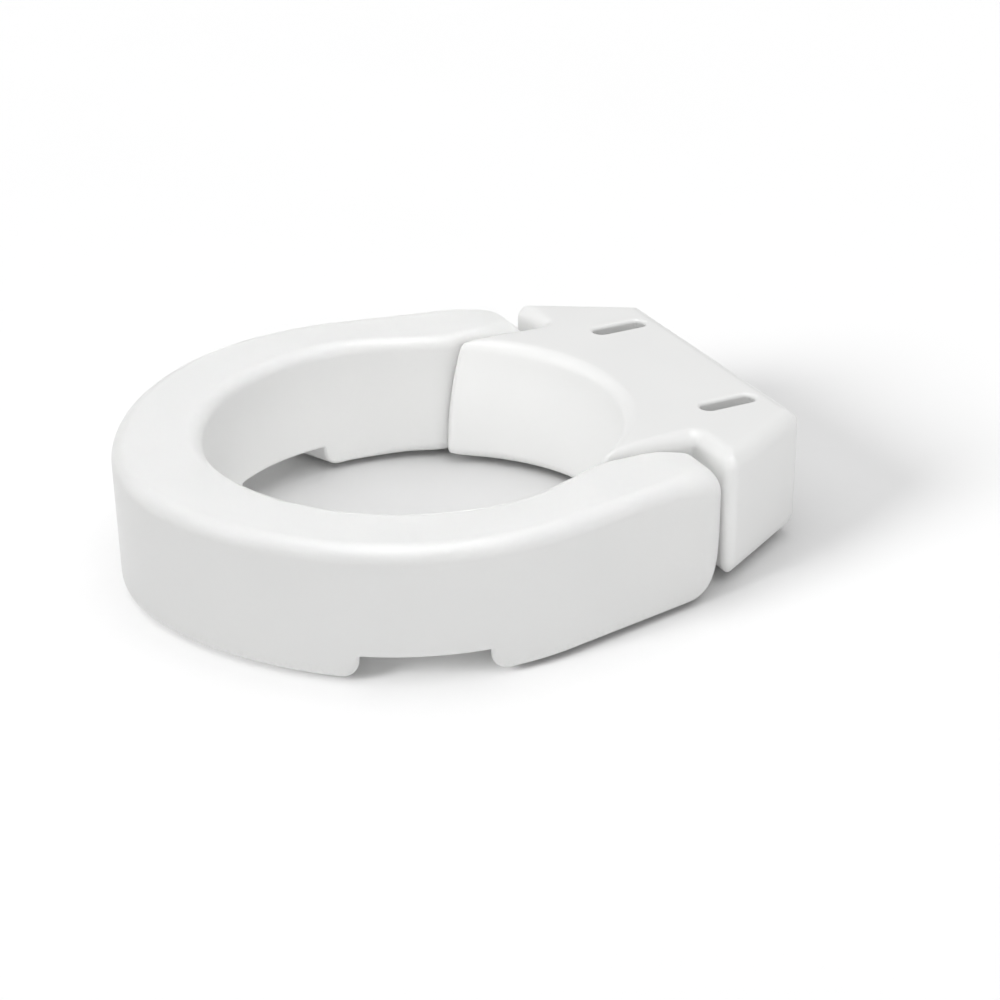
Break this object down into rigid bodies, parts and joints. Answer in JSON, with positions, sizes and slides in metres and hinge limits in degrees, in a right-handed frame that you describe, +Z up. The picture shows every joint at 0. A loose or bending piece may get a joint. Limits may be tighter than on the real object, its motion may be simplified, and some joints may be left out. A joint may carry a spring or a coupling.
{
  "type": "raised toilet seat",
  "caption": "Hinged riser that lifts a toilet seat: a hollow horseshoe ring that swings up from a slotted, hollow rear block bolted to the bowl.",
  "frame": {"origin": "centre of the footprint, on the plane of the bowl's rim, which the rubber bumpers and pads rest on", "axes": "+X to one side, +Y from the nose of the ring to the back of the block, +Z up"},
  "size_m": [0.352, 0.416, 0.089],
  "materials": {
    "shell_plastic": "satin white moulded polyethylene",
    "pin_plastic": "natural acetal rod, turned",
    "grey_rubber": "soft matt rubber"
  },
  "bodies": {
    "block": {"hinge_block": "shell_plastic", "hinge_pin_left": "pin_plastic", "hinge_pin_right": "pin_plastic", "slot_pad_left": "grey_rubber", "slot_pad_right": "grey_rubber"},
    "ring": {"seat_ring": "shell_plastic", "bumper_front_left": "grey_rubber", "bumper_front_right": "grey_rubber", "bumper_rear_left": "grey_rubber", "bumper_rear_right": "grey_rubber"}
  },
  "joints": [
    {"name": "ring_lift", "type": "hinge", "parent": "block", "child": "ring", "pos_m": [0, 0.0924, 0.07], "axis": [-1, 0, 0], "range_deg": [0, 100]}
  ]
}
